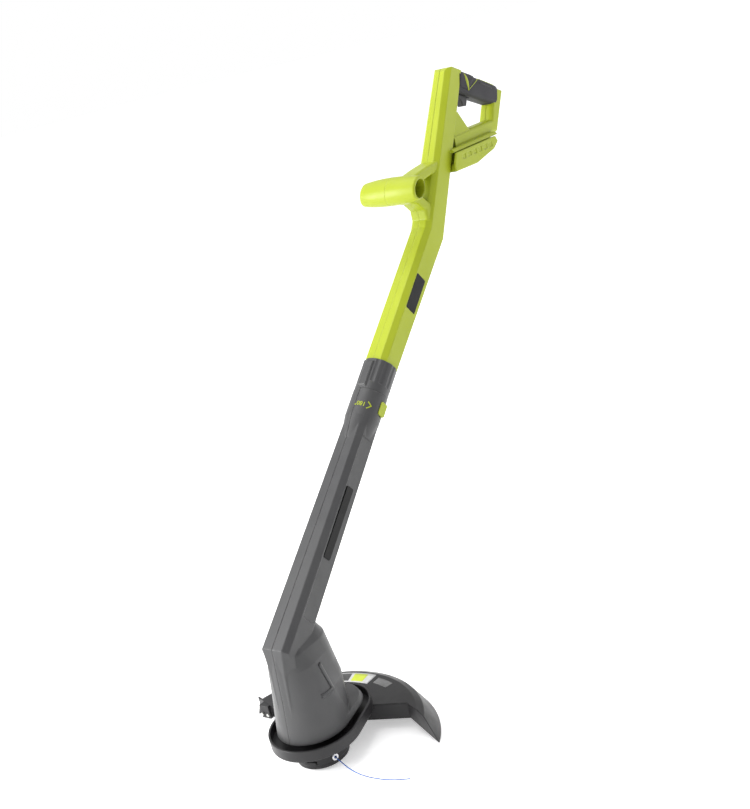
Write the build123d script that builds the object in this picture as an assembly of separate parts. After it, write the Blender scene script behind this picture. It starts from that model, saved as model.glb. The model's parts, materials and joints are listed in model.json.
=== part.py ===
from build123d import *
from math import sin, cos, tan, atan2, degrees, radians, hypot, pi
import os

# Cordless string trimmer and edger.
# Frame: +Z is the motor axis, the head lies level, -Y is ahead of the user, +X is the user's left.
# The origin is where the motor axis meets the underside of the spool knob.

# ---- driving dimensions, in millimetres and degrees ----
WALL = 2.6                    # moulded shell wall
FIT = 0.05                    # radial play of a running fit
GAP = 0.3                     # clear gap between parts that move past each other
SEAM = 0.6                    # width and depth of the groove where two shells meet

SHAFT_LEAN = 51.5             # angle of the swivel axis from the motor axis
GRIP_LEAN = 35.2              # angle of the upper body from the motor axis
SHAFT_FOOT = (-17.3, 190.8)   # (y, z) where the swivel axis enters the motor housing
BEND_T = 720.0                # distance along the swivel axis to the bend of the upper body
UPPER_LENGTH = 268.0          # from the bend to the top end
COLLAR_START = 412.0          # the grey collar along the swivel axis
COLLAR_END = 465.0
COLLAR_R = 27.0
TUBE_R = 16.0                 # swivel tube, outside
TUBE_WALL = 2.5

LOWER_FOOT_W, LOWER_FOOT_D = 52.0, 47.0     # lower body across and front to back, at its foot
LOWER_TOP_W, LOWER_TOP_D = 45.0, 42.0
SLEEVE_W, SLEEVE_D = 44.0, 44.0             # upper body where it meets the collar
BEND_W, BEND_D = 42.0, 50.0
BEND_REAR = 3.0               # how far the bend's section sits to the rear of the line
TOP_W, TOP_D = 34.0, 42.0
SHAFT_CHAMFER = 8.0

GRIP_FRONT = (716.0, 857.0)   # (y, z) of the rear handle's centre line
GRIP_REAR = (838.0, 809.0)
GRIP_TOP_LEAN = 21.5          # lean of the line square to the grip
TOP_CORNER_R = 14.0
LOOP_LOW = (806.0, 762.0)
LOOP_FOOT = (668.0, 762.0)
GRIP_W, GRIP_D = 34.0, 38.0
GRIP_SKIN = 3.5               # rubber over the grip core
LOOP_W, LOOP_D = 30.0, 24.0
RAIL_HALF = 30.5              # half the width of the battery rail
DECK_HALF = 26.5              # half the width of the deck over it
DECK_BASE = 749.0             # underside of the deck

BAR_CENTRE = (482.0, 726.0)   # front handle bar, an oval tube across the body
BAR_LONG, BAR_SHORT = 49.0, 37.0         # at its middle, tapering to its ends
BAR_END_LONG, BAR_END_SHORT = 40.0, 30.0
BAR_LEAN = 48.0               # lean of the oval's long axis from Z
BAR_HALF = 54.0               # half its length
ARM_W, ARM_D = 34.0, 17.0     # the arms that carry it

HOUSING_BASE = 58.0           # z of the lower edge of the motor housing
FLANGE_TOP = 67.0             # top of the low flange behind it
MOTOR_R = 22.0
MOTOR_BASE, MOTOR_TOP = 66.0, 124.0
MOTOR_SHAFT_R = 2.5

SPOOL_R = 40.0                # spool housing, outside
KNOB_R = 22.0
HEAD_BASE, HEAD_TOP = 4.0, 36.0
SPOOL_R_IN = 33.0             # spool flanges
SPOOL_BASE = 13.0
DRUM_BORE = 10.0
LINE_D = 1.65                 # cutting line
EYELET_Z = 16.0
EYELET_TURN = -22.0           # angle of the line exit about the motor axis, from +X

PLATE_TOP = 43.0              # top of the guard plate
PLATE_R = 160.0               # where the plate turns down
APRON_R = 178.0               # lower edge of the apron
APRON_BASE = 6.0
GUARD_T = 2.8
SKIRT_BASE, SKIRT_TOP = 42.0, 57.0

# The free cutting line's route, from the eyelet to its cut end.
LINE_ROUTE = [
    (38.0, -15.4, 16.0),
    (50.0, -20.3, 16.0),
    (63.5, -26.0, 15.5),
    (79.5, -31.2, 14.4),
    (97.0, -33.8, 13.0),
    (114.5, -32.8, 11.3),
    (131.5, -28.8, 9.4),
    (144.5, -23.7, 7.9),
    (156.5, -17.2, 6.6),
    (166.5, -10.7, 5.6),
]


# ---- helpers ----
def box(x0, x1, y0, y1, z0, z1):
    """A box between two corners."""
    return Pos((x0 + x1) / 2, (y0 + y1) / 2, (z0 + z1) / 2) * Box(x1 - x0, y1 - y0, z1 - z0)


def rod(radius, z0, z1, x=0.0, y=0.0):
    """An upright cylinder from z0 to z1."""
    return Pos(x, y, (z0 + z1) / 2) * Cylinder(radius, z1 - z0)


def ring(outer, inner, z0, z1):
    """An upright ring about the motor axis."""
    return rod(outer, z0, z1) - rod(inner, z0 - 1, z1 + 1)


def lean(angle):
    """The (y, z) unit vector that leans rearward from the motor axis by an angle."""
    return sin(radians(angle)), cos(radians(angle))


def shaft_point(t, across=0.0, depth=0.0):
    """A point at t along the swivel axis, moved across in X and rearward-down by depth."""
    y, z = lean(SHAFT_LEAN)
    return (across, SHAFT_FOOT[0] + t * y + depth * z, SHAFT_FOOT[1] + t * z - depth * y)


def slant_plane(point, angle):
    """A plane through a (y, z) point, square to a line that leans rearward by an angle."""
    y, z = lean(angle)
    return Plane(origin=(0, point[0], point[1]), x_dir=(1, 0, 0), z_dir=(0, y, z))


def shaft_plane(t):
    """The plane square to the swivel axis at t, with its own Y to the rear."""
    return slant_plane(shaft_point(t)[1:], SHAFT_LEAN)


def upper_point(u, depth=0.0):
    """The (y, z) point at u up the upper body from the bend."""
    y, z = lean(GRIP_LEAN)
    bend = shaft_point(BEND_T)
    return (bend[1] + u * y + depth * z, bend[2] + u * z - depth * y)


def body_section(width, depth, chamfer):
    """The eight-sided section of the long bodies, broad chamfers at the front, soft corners."""
    w, d, c, r = width / 2, depth / 2, chamfer, 6.0
    outline = Polyline(
        (-w + c, -d), (w - c, -d), (w, -d + c), (w, d - r), (w - r, d),
        (-w + r, d), (-w, d - r), (-w, -d + c), close=True,
    )
    face = make_face(outline)
    return fillet(face.vertices(), 2.0)


def run(sections):
    """A solid through flat sections, straight from each to the next."""
    return loft(sections, ruled=True)


def mitred(points, sizes, corner):
    """A rounded tube along (y, z) points: each joint of two runs lies on their mitre plane."""
    planes = []
    for i, point in enumerate(points):
        before = points[max(i - 1, 0)]
        after = points[min(i + 1, len(points) - 1)]
        ends = []
        for a, b in ((before, point), (point, after)):
            span = hypot(b[0] - a[0], b[1] - a[1])
            if span > 0:
                ends.append(((b[0] - a[0]) / span, (b[1] - a[1]) / span))
        y = sum(e[0] for e in ends)
        z = sum(e[1] for e in ends)
        half = hypot(y, z) / len(ends)
        planes.append((slant_plane(point, degrees(atan2(y, z))), half))
    solid = None
    for i in range(len(points) - 1):
        pair = []
        for j in (i, i + 1):
            plane, half = planes[j]
            width, depth = sizes[j]
            pair.append(plane * RectangleRounded(width, depth / half, corner))
        piece = run(pair)
        solid = piece if solid is None else solid + piece
    return solid


def seam_slab(y0, z0):
    """The thin upright slab that leaves a groove in the outside where two shells meet."""
    return box(-SEAM / 2, SEAM / 2, y0, 1000, z0, 1000)


def halves(solid):
    """The left (+X) and right (-X) half of a shell."""
    left = solid & box(0, 400, -500, 1200, -100, 1200)
    right = solid & box(-400, 0, -500, 1200, -100, 1200)
    return left, right


def along(plane, solid):
    """Moves a solid built about Z at the origin on to a plane."""
    return plane.location * solid


def coil(radius, wire, z0, z1, turns):
    """A coil spring with its axis on Z."""
    path = Helix(pitch=(z1 - z0) / turns, height=z1 - z0, radius=radius)
    start = path @ 0
    profile = Plane(origin=start, z_dir=path % 0) * Circle(wire / 2)
    return Pos(0, 0, z0) * sweep(profile, path=path, is_frenet=True)


# ---- upper body ----
def rounded_top(inset):
    """The blocks that cut the top end in line with the grip and round its front corner."""
    y, z = lean(GRIP_TOP_LEAN)
    level = (GRIP_FRONT[0] + 18.5 * y) * y + (GRIP_FRONT[1] + 18.5 * z) * z
    depth = TOP_CORNER_R - TOP_D / 2
    foot = upper_point(0, depth)
    axis = lean(GRIP_LEAN)
    up = (level - TOP_CORNER_R - foot[0] * y - foot[1] * z) / (axis[0] * y + axis[1] * z)
    centre = upper_point(up, depth)
    blocks = None
    for angle in (GRIP_TOP_LEAN, -4.0, -29.0):
        y, z = lean(angle)
        point = (centre[0] + (TOP_CORNER_R - inset) * y, centre[1] + (TOP_CORNER_R - inset) * z)
        block = along(slant_plane(point, angle), Pos(0, 0, 60) * Box(200, 300, 120))
        blocks = block if blocks is None else blocks + block
    return blocks


def upper_body(inset):
    """The long upper body, from the collar through the bend to its top end."""
    half_turn = (SHAFT_LEAN - GRIP_LEAN) / 2
    start = shaft_plane(COLLAR_END + (0.0 if inset == 0 else -1.0))
    bend = slant_plane(shaft_point(BEND_T, 0, BEND_REAR)[1:], SHAFT_LEAN - half_turn)
    top = slant_plane(upper_point(UPPER_LENGTH + 50), GRIP_LEAN)
    cut = 2 * inset
    chamfer = SHAFT_CHAMFER - 0.59 * inset
    body = run([
        start * body_section(SLEEVE_W - cut, SLEEVE_D - cut, chamfer),
        bend * body_section(BEND_W - cut, BEND_D - cut, chamfer),
        top * body_section(TOP_W - cut, TOP_D - cut, chamfer),
    ])
    return body - rounded_top(inset)


def handle_loop(inset):
    """The rear handle: grip core, rear upright and lower beam."""
    grip = (GRIP_W - 2 * GRIP_SKIN - 2 * inset, GRIP_D - 2 * GRIP_SKIN - 2 * inset)
    bar = (LOOP_W - 2 * inset, LOOP_D - 2 * inset)
    corner = 8.0 - 0.6 * inset
    front = (GRIP_FRONT[0] - 10.0, GRIP_FRONT[1] + 3.9)
    return mitred([front, GRIP_REAR, LOOP_LOW, LOOP_FOOT], [grip, (grip[0], grip[1] - 4), bar, bar], corner)


def gusset(inset):
    """The web that fills the corner between the upper body and the lower beam."""
    outline = Polyline(
        (672 + inset, 772 - inset), (722 - 2 * inset, 772 - inset),
        (697 - inset, 808 - 2.4 * inset), (686 + inset, 808 - 2.4 * inset), close=True,
    )
    return extrude(Plane.YZ * make_face(outline), 13.0 - inset, both=True)


def bar_solid(inset):
    """The front handle bar: a barrel with an oval section, its long axis leaning rearward."""
    sections = []
    for x, long, short in (
        (-BAR_HALF, BAR_END_LONG, BAR_END_SHORT), (-BAR_HALF / 2, BAR_LONG - 2, BAR_SHORT - 1.6),
        (0, BAR_LONG, BAR_SHORT),
        (BAR_HALF / 2, BAR_LONG - 2, BAR_SHORT - 1.6), (BAR_HALF, BAR_END_LONG, BAR_END_SHORT),
    ):
        plane = Plane(origin=(x, BAR_CENTRE[0], BAR_CENTRE[1]), x_dir=(0, 1, 0), z_dir=(1, 0, 0))
        sections.append(plane * (Rot(0, 0, -BAR_LEAN) * Ellipse(short / 2 - inset, long / 2 - inset)))
    return loft(sections)


def front_bar():
    """The front handle bar, its end edges rounded, and the two deep pockets, one from each end."""
    solid = bar_solid(0)
    ends = [solid.faces().sort_by(Axis.X)[k] for k in (0, -1)]
    solid = fillet([edge for face in ends for edge in face.edges()], 3.0)
    plane = Plane(origin=(0, BAR_CENTRE[0] + 1.0, BAR_CENTRE[1] - 1.0), x_dir=(0, 1, 0), z_dir=(1, 0, 0))
    oval = plane * (Rot(0, 0, -BAR_LEAN) * Ellipse(12.2, 16.3))
    pocket = extrude(oval, BAR_HALF + 30, both=True) - box(-9, 9, 300, 700, 600, 900)
    return solid, pocket


def handle_arms(inset):
    """The two arms that carry the front handle bar on the upper body."""
    upper = [(488.0, 724.0), (560.0, 734.5), (618.0, 740.0)]
    lower = [(488.0, 714.0), (527.0, 702.0), (546.5, 683.0), (545.0, 640.0)]
    size = (ARM_W - 2 * inset, ARM_D - 2 * inset)
    if inset > 0:
        upper[0] = (510.0, 727.2)
        lower[0] = (507.0, 708.2)
    return mitred(upper, [size] * 3, 5.0 - 0.5 * inset) + mitred(lower, [size] * 4, 5.0 - 0.5 * inset)


def battery_rail():
    """The moulding that a slide-on battery grips: a neck, a broad curved floor and two side walls."""
    neck = extrude(Plane.YZ * make_face(Polyline(
        (640, 722), (764, 737), (764, DECK_BASE), (640, DECK_BASE), close=True)), 12, both=True)
    floor_outline = Polyline(
        (630, 719), (700, 717.5), (763, 728.5), (779, 738), (775, 747), (761, 743), (640, 730), close=True)
    wall_outline = Polyline(
        (630, 719), (700, 717.5), (763, 728.5), (779, 738), (774, 748), (642, 748), (632, 733), close=True)
    rail = extrude(Plane.YZ * make_face(floor_outline), RAIL_HALF - 1, both=True)
    for side in (1, -1):
        wall = extrude(Plane.YZ * fillet(make_face(wall_outline).vertices(), 3.0), 1.8, both=True)
        wall = chamfer(wall.faces().sort_by(Axis.X)[-1 if side > 0 else 0].edges(), 1.0)
        for y in (662, 680, 698, 716, 734, 752):
            wall -= box(*sorted((side * 1.0, side * 3.0)), y - 5.5, y + 5.5, 734, 742)
        rail += Pos(side * (RAIL_HALF - 1.8), 0, 0) * wall
    return neck + rail - upper_body(0) - terminal_space() - lead_space()


UPPER_BOSSES = (
    [shaft_point(t, 0, -9)[1:] for t in (530, 640)]
    + [upper_point(u, -8) for u in (30, 150, 236)]
    + [(815.8, 786.1), (742.0, 762.0)]
)


def cross_boss(point, radius, half_width):
    """A screw pillar across the shell, along X."""
    return Plane(origin=(0, point[0], point[1]), z_dir=(1, 0, 0)) * Cylinder(radius, 2 * half_width)


def screw_x(point, start, length, head_r=3.4):
    """A pan-head screw along X, its head at -X and its tip towards +X."""
    frame = Plane(origin=(-start, point[0], point[1]), z_dir=(-1, 0, 0))
    shank = Pos(0, 0, -length / 2) * Cylinder(1.5, length)
    head = Pos(0, 0, 1.1) * Cylinder(head_r, 2.2)
    drive = Pos(0, 0, 2.0) * (Box(3.6, 0.9, 1.4) + Box(0.9, 3.6, 1.4))
    return frame * (shank + head - drive)


def screw_hole_x(point, start):
    """The hole that a cross screw needs: a shank bore and a deep counterbore for its head."""
    frame = Plane(origin=(-start, point[0], point[1]), z_dir=(-1, 0, 0))
    return frame * (Pos(0, 0, -9) * Cylinder(1.5, 18) + Pos(0, 0, 15) * Cylinder(3.6, 30))


def trigger_slot():
    """The slot through the grip's underside that the trigger works in."""
    return box(-6.5, 6.5, 713, 754, 796, 847)


def upper_shells():
    """Left and right moulded halves of the upper body."""
    bar, pockets = front_bar()
    outer = upper_body(0) + handle_loop(0) + gusset(0) + handle_arms(0) + bar
    inner = upper_body(WALL) + handle_loop(WALL) + gusset(WALL) + handle_arms(WALL)
    shell = outer - inner + (battery_deck() - upper_body(WALL))
    core = upper_body(SEAM) + handle_loop(SEAM) + gusset(SEAM) + handle_arms(SEAM) + bar_solid(SEAM)
    shell -= seam_slab(440, 755.5) - core
    for point in UPPER_BOSSES:
        shell += cross_boss(point, 4.6, 40.0) & outer
    shell -= pockets
    shell -= trigger_slot()
    shell -= along(shaft_plane(COLLAR_END + 16), Cylinder(19.0, 34))
    shell -= terminal_space() + switch_space()
    shell -= lead_space()
    shell -= cross_boss(TRIGGER_PIVOT, 2.0, 12.5)
    shell -= badge_seat_upper()
    for point in UPPER_BOSSES:
        shell -= screw_hole_x(point, 8.0)
    return halves(shell)


def battery_deck():
    """The flat underside of the beam, which covers the rail and which the battery's top slides along."""
    deck = box(-DECK_HALF, DECK_HALF, 640, 786, DECK_BASE, 754.5)
    edges = [deck.edges().filter_by(Axis.Y).group_by(Axis.Z)[-1]]
    return chamfer(edges[0], 3.5)


def lead_space():
    """The ways in the deck and the neck for the lead to the terminal block."""
    return box(-3.2, 3.2, 646, 700, 741, 756) + box(-3.2, 3.2, 636, 664, 727, 750)


def terminal_space():
    """The pocket in the neck that holds the terminal block."""
    return box(-8, 8, 690, 766, 737, 760)


def switch_space():
    """The pocket that holds the trigger switch."""
    return box(-7.2, 7.2, 751.8, 768.2, 831.8, 848.2)


def terminal_block():
    """The insulating block that carries the battery contacts."""
    block = box(-7.7, 7.7, 700, 746, 738, 752)
    for x in (-5.0, 0.0, 5.0):
        block -= box(x - 0.5, x + 0.5, 712, 750, 736, 748)
    return block


def battery_contacts():
    """Three contact blades, in the terminal block's slots."""
    blades = []
    for x in (-5.0, 0.0, 5.0):
        blades.append(box(x - 0.4, x + 0.4, 714, 744, 739, 747.5))
    return Compound(blades)


BADGE_UPPER = (600.0, 0.0, 64.0, 24.0)     # t, depth, length and width on the left side face
BADGE_LOWER = (198.0, -2.0, 114.0, 15.0)


def side_plate(badge, inner, outer, spare=0.0):
    """A flat plate on the left side of a long body, between two distances from the mid plane."""
    t, depth, length, width = badge
    slab = Box(outer - inner, width + spare, length + spare)
    slab = fillet(slab.edges().filter_by(Axis.X), 2.0)
    return along(shaft_plane(t), Pos((inner + outer) / 2, depth, 0) * slab)


def badge_seat_upper():
    """The shallow seat for the upper blank badge."""
    return side_plate(BADGE_UPPER, 20.2, 30.0, 0.3)


def badge_upper():
    """A blank badge plate on the upper body."""
    return side_plate(BADGE_UPPER, 20.25, 21.7)


def badge_seat_lower():
    """The shallow seat for the lower blank badge."""
    return side_plate(BADGE_LOWER, 22.6, 34.0, 0.3)


def badge_lower():
    """A blank badge plate on the lower body."""
    return side_plate(BADGE_LOWER, 22.65, 24.3)


def grip_skins():
    """The rubber skin round the grip core, in two halves, open where the trigger works."""
    size = (GRIP_W, GRIP_D)
    front = (GRIP_FRONT[0] + 2.0, GRIP_FRONT[1] - 0.8)
    rear = (GRIP_REAR[0] - 8.0, GRIP_REAR[1] + 3.2)
    skin = mitred([front, rear], [size, (GRIP_W, GRIP_D - 3)], 11.0)
    skin -= handle_loop(0)
    skin -= upper_body(0)
    skin -= box(-7.2, 7.2, 690, 756, 790, 850)
    return halves(skin)


# ---- trigger ----
TRIGGER_PIVOT = (722.0, 847.0)


def trigger():
    """The finger lever: a hub on its pin, a web and a curved finger pad."""
    outline = make_face(Polyline(
        (716, 846), (719, 852), (728, 851), (742, 836), (745, 819), (740, 811), (731, 812),
        (728, 824), (719, 831), close=True))
    body = extrude(Plane.YZ * fillet(outline.vertices(), 1.6), 5.6, both=True)
    return body - cross_boss(TRIGGER_PIVOT, 2.0 + FIT, 10)


def trigger_pin():
    """The steel pin that the trigger swings on."""
    return cross_boss(TRIGGER_PIVOT, 2.0, 12.5)


# ---- cylinders on the swivel axis ----
def swivel_ring(outer, inner, t0, t1):
    """A ring about the swivel axis."""
    body = Cylinder(outer, t1 - t0) - Cylinder(inner, t1 - t0 + 2)
    return along(shaft_plane((t0 + t1) / 2), body)


def swivel_tube():
    """The tube that joins the two bodies, with the flange that the lower body clasps."""
    tube = swivel_ring(TUBE_R, TUBE_R - TUBE_WALL, 366, 502)
    return tube + swivel_ring(19.5, TUBE_R - 1, 378, 384)


def swivel_retainer():
    """The ring pinned to the tube's upper end, which keeps the bodies together."""
    return swivel_ring(18.4, TUBE_R, 497.4, 501.4)


def swivel_collar():
    """The fluted collar at the end of the upper body, with its spigot and its pointer tab."""
    collar = swivel_ring(COLLAR_R, TUBE_R + FIT, COLLAR_START + GAP, COLLAR_END)
    collar += swivel_ring(18.9, TUBE_R + FIT, COLLAR_END - 1, 497.0)
    for i in range(12):
        if i == 9:
            continue
        flute = Rot(0, 0, i * 30.0) * (Pos(COLLAR_R + 9.0, 0, 0) * Cylinder(10.0, 40))
        collar -= along(shaft_plane(446), flute)
    tab = Pos(0, -COLLAR_R + 0.5, 0) * Box(15, 5, 44)
    tab = chamfer(tab.faces().sort_by(Axis.Y)[0].edges(), 1.6)
    collar += along(shaft_plane(438), tab)
    collar -= swivel_ring(25.2, 21.0, COLLAR_START - 2, COLLAR_START + 4.5)
    return collar


# ---- lower body ----
def pear(z, r_front, y_front, r_rear, y_rear):
    """A flat outline round two circles: a broad one ahead and a smaller one behind."""
    pair = Sketch() + Pos(0, y_front) * Circle(r_front) + Pos(0, y_rear) * Circle(r_rear)
    return Pos(0, 0, z) * make_hull(pair.edges())


HOUSING = [
    (HOUSING_BASE, 56.0, -1.0, 41.0, 22.0),
    (118.0, 47.0, -1.0, 38.0, 29.0),
    (166.0, 38.0, -5.0, 34.0, 26.0),
    (188.0, 30.0, -10.0, 31.0, 26.0),
    (208.0, 17.0, -8.0, 22.0, 24.0),
]


def motor_housing(inset):
    """The housing over the motor, wide at its base and narrowing up to the shaft."""
    sections = []
    for z, r_front, y_front, r_rear, y_rear in HOUSING:
        lift = 0.0
        if inset > 0:
            lift = -1.0 if z == HOUSING_BASE else -inset * (z > 200)
        sections.append(pear(z + lift, r_front - inset, y_front, r_rear - inset, y_rear))
    flange = run([
        pear(HOUSING_BASE - (1.0 if inset > 0 else 0.0), 56.0 - inset, 0.0, 47.0 - inset, 45.0),
        pear(FLANGE_TOP - inset, 54.0 - inset, 0.0, 44.0 - inset, 43.0),
    ])
    return run(sections) + flange


def lower_body(inset):
    """The long lower body, from the front of the motor housing up to the collar."""
    cut = 2 * inset
    corner = SHAFT_CHAMFER - 0.59 * inset
    body = run([
        shaft_plane(-8) * body_section(LOWER_FOOT_W - cut, LOWER_FOOT_D - cut, corner),
        shaft_plane(362) * body_section(LOWER_TOP_W - cut, LOWER_TOP_D - cut, corner),
    ])
    brow = run([
        Pos(0, -21.0, 100.0) * body_section(66 - cut, 56 - cut, 20.0 - 0.59 * inset),
        Pos(0, -17.0, 165.0) * body_section(56 - cut, 50 - cut, 14.0 - 0.59 * inset),
        shaft_plane(-8) * body_section(LOWER_FOOT_W - cut, LOWER_FOOT_D - cut, corner),
    ])
    neck = loft([shaft_plane(330) * Circle(21.6 - inset), shaft_plane(368) * Circle(COLLAR_R + 0.4 - inset)])
    end = COLLAR_START - (0 if inset == 0 else 22.0)
    return body + brow + neck + swivel_ring_solid(COLLAR_R + 0.4 - inset, 367.5, end)


def swivel_ring_solid(radius, t0, t1):
    """A plain cylinder on the swivel axis."""
    return along(shaft_plane((t0 + t1) / 2), Cylinder(radius, t1 - t0))


LOWER_BOSSES = [shaft_point(t, 0, -10)[1:] for t in (90, 210, 330)] + [(12.0, 178.0)]


def lower_shells():
    """Left and right moulded halves of the lower body and motor housing."""
    outer = lower_body(0) + motor_housing(0)
    inner = lower_body(WALL) + motor_housing(WALL)
    inner = inner - swivel_ring_solid(26, 364.5, 377.6) - swivel_ring_solid(26, 384.4, 392)
    shell = outer - inner
    for point in LOWER_BOSSES:
        shell += cross_boss(point, 4.6, 60.0) & outer
    shell -= swivel_ring_solid(TUBE_R, 362, COLLAR_START + 4)
    shell -= swivel_ring_solid(19.5, 378, 384)
    shell -= button_hole()
    shell -= badge_seat_lower()
    for point in LOWER_BOSSES:
        shell -= screw_hole_x(point, 8.0)
    shell -= side_recess(1) + side_recess(-1)
    shell -= seam_slab(-100, HOUSING_BASE - 5) - lower_body(SEAM) - motor_housing(SEAM)
    return halves(shell)


def side_recess(side):
    """The long shallow panel sunk into each side of the lower body, open at the rear."""
    ends = []
    for t, width in ((48.0, LOWER_FOOT_W - 1.0), (338.0, LOWER_TOP_W + 0.5)):
        across = side * (width / 2 - 1.2 + 5.0)
        ends.append(shaft_plane(t) * (Pos(across, 9.0) * Rectangle(10.0, 42.0)))
    return run(ends)


# ---- swivel release ----
BUTTON_T, BUTTON_DEPTH = 391.0, 6.0


def button_block(spare, inner, outer):
    """The release button's rhombus-like block, from inner to outer distance in X."""
    face = RectangleRounded(22.0 + 2 * spare, 15.0 + 2 * spare, 3.0)
    slab = extrude(Plane.YZ * face, (outer - inner) / 2, both=True)
    slab = Pos((inner + outer) / 2, 0, 0) * (Rot(90, 0, 0) * slab)
    return along(shaft_plane(BUTTON_T), Pos(0, BUTTON_DEPTH, 0) * slab)


def button_hole():
    """The opening in the lower body that the button slides in."""
    pocket = Pos(18.5, 0, 0) * Rot(0, 90, 0) * Cylinder(3.9, 3.2)
    return button_block(0.15, 18.4, 40.0) + along(shaft_plane(BUTTON_T), Pos(0, BUTTON_DEPTH, 0) * pocket)


def swivel_button():
    """The button that frees the swivel: its face stands just proud of the lower body."""
    return button_block(0.0, 22.9, 28.6) + button_block(-3.0, 22.2, 23.0)


# ---- motor ----
def motor_can():
    """The drawn steel can of the motor, closed at its top."""
    can = ring(MOTOR_R, MOTOR_R - 1.2, MOTOR_BASE + 4, MOTOR_TOP)
    return can + ring(MOTOR_R, 5.0, MOTOR_TOP - 1.2, MOTOR_TOP)


def motor_end_cap():
    """The moulded lower end of the motor, which holds a bearing and the brushes."""
    cap = ring(MOTOR_R, 5.0, MOTOR_BASE, MOTOR_BASE + 4)
    cap += ring(8.5, 5.0, MOTOR_BASE, MOTOR_BASE + 7)
    return cap


def motor_bearings():
    """A plain bearing at each end of the motor."""
    low = ring(5.0, MOTOR_SHAFT_R + FIT, MOTOR_BASE, MOTOR_BASE + 6)
    high = ring(5.0, MOTOR_SHAFT_R + FIT, MOTOR_TOP - 4, MOTOR_TOP + 1)
    return [low, high]


def motor_magnets():
    """Two curved magnets inside the can."""
    whole = ring(MOTOR_R - 1.2, MOTOR_R - 5.2, 84, 118)
    pieces = []
    for side in (1, -1):
        pieces.append(whole & box(*sorted((side * 4, side * 30)), -30, 30, 80, 120))
    return pieces


def motor_armature():
    """The wound armature: a slotted core and the turns at its ends."""
    core = ring(15.8, MOTOR_SHAFT_R, 86, 116)
    for i in range(7):
        slot = Rot(0, 0, i * 360 / 7) * box(8, 20, -1.2, 1.2, 80, 120)
        core -= slot
    return core


def armature_winding():
    """The copper end turns of the armature, below and above its core."""
    return [ring(13.5, 6.0, 80.5, 86), ring(13.5, 6.0, 116, 119.5)]


def commutator():
    """The commutator, with its bars separated by slots."""
    drum = ring(6.0, MOTOR_SHAFT_R, 74, 80.5)
    for i in range(7):
        drum -= Rot(0, 0, i * 360 / 7) * box(4.5, 8, -0.3, 0.3, 73, 81)
    return drum


def motor_brushes():
    """The two carbon brushes that ride on the commutator, in their brass boxes."""
    brushes = []
    for side in (1, -1):
        lo, hi = sorted((side * 6.3, side * 15))
        brushes.append(box(lo, hi, -2.2, 2.2, 74.5, 79.5))
    return brushes


def motor_shaft():
    """The motor shaft, from the spool housing up through the motor."""
    return rod(MOTOR_SHAFT_R, 18, MOTOR_TOP + 5)


def motor_plate():
    """The plate that closes the housing's base and carries the motor."""
    plate = extrude(pear(HOUSING_BASE + 1, 51.6, 0, 42.6, 36.0), 3.0)
    plate += rod(MOTOR_R + 3, 61, MOTOR_BASE)
    plate -= rod(7.0, 50, 70)
    for i in range(2):
        plate -= rod(1.6, 50, 70, x=(-1) ** i * 14.0)
    for x, y in GUARD_SCREWS:
        plate -= rod(1.7, 50, 70, x, y)
    return plate


def motor_screws():
    """The two screws that hold the motor to its plate."""
    screws = []
    for i in range(2):
        x = (-1) ** i * 14.0
        screws.append(rod(1.6, 59, MOTOR_BASE, x=x) + rod(3.0, 56.6, 59, x=x))
    return screws


def cooling_fan():
    """The small fan under the motor plate, pressed on the shaft."""
    fan = ring(4.5, MOTOR_SHAFT_R, 46, 55) + ring(20, 4, 46, 47.6)
    for i in range(9):
        fan += Rot(0, 0, i * 40) * box(4, 19.5, -0.8, 0.8, 47, 54)
    return fan


# ---- spool head ----
def spool_housing():
    """The cup that spins on the motor shaft and holds the spool."""
    cup = rod(SPOOL_R, HEAD_BASE + 6, HEAD_TOP)
    cup = fillet(cup.edges().group_by(Axis.Z)[-1], 4.0)
    cup -= rod(SPOOL_R - 2.4, HEAD_BASE, HEAD_TOP - 3)
    cup += ring(8.0, MOTOR_SHAFT_R, HEAD_TOP - 4, 45)
    cup += ring(5.0, MOTOR_SHAFT_R, 18, HEAD_TOP - 3)
    for i in range(12):
        rib = box(10, 36, -0.9, 0.9, HEAD_TOP - 1, HEAD_TOP + 2.4)
        cup += Rot(0, 0, i * 30) * rib
    cup -= eyelet_bore(3.6)
    cup -= rod(MOTOR_SHAFT_R, 0, 60)
    for side in (0, 180):
        cup -= Rot(0, 0, side - 74) * box(36, 42, -8.2, 8.2, HEAD_BASE + 8, HEAD_BASE + 13.2)
    return cup


def eyelet_bore(radius):
    """A cylinder through the housing wall where the line comes out."""
    bore = Plane(origin=(SPOOL_R - 3, 0, EYELET_Z), z_dir=(1, 0, 0)) * Cylinder(radius, 12)
    return Rot(0, 0, EYELET_TURN) * bore


def line_eyelet():
    """The metal ring in the housing wall that the line runs through."""
    frame = Plane(origin=(SPOOL_R - 1.6, 0, EYELET_Z), z_dir=(1, 0, 0))
    outer = Cylinder(3.6, 4.4) + Pos(0, 0, 2.6) * Cylinder(5.0, 1.6)
    return Rot(0, 0, EYELET_TURN) * (frame * (outer - Cylinder(2.3, 10)))


def spool_cap():
    """The cover under the spool, open in the middle for the knob, with two snap tabs."""
    cap = ring(SPOOL_R, KNOB_R + GAP, HEAD_BASE, HEAD_BASE + 5.8)
    cap = fillet(cap.edges().group_by(Axis.Z)[0].sort_by(SortBy.LENGTH)[-1], 1.5)
    cap += ring(26.0, KNOB_R + GAP, HEAD_BASE + 5, SPOOL_BASE - GAP)
    cap += ring(SPOOL_R - 2.7, SPOOL_R - 5.2, HEAD_BASE + 4, HEAD_BASE + 8)
    for side in (0, 180):
        tab = box(34.9, 36.6, -7.5, 7.5, HEAD_BASE + 5, HEAD_BASE + 12.6)
        tab += box(36, 41.2, -7.5, 7.5, HEAD_BASE + 9, HEAD_BASE + 12.6)
        cap += Rot(0, 0, side - 74) * tab
    return cap


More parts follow.
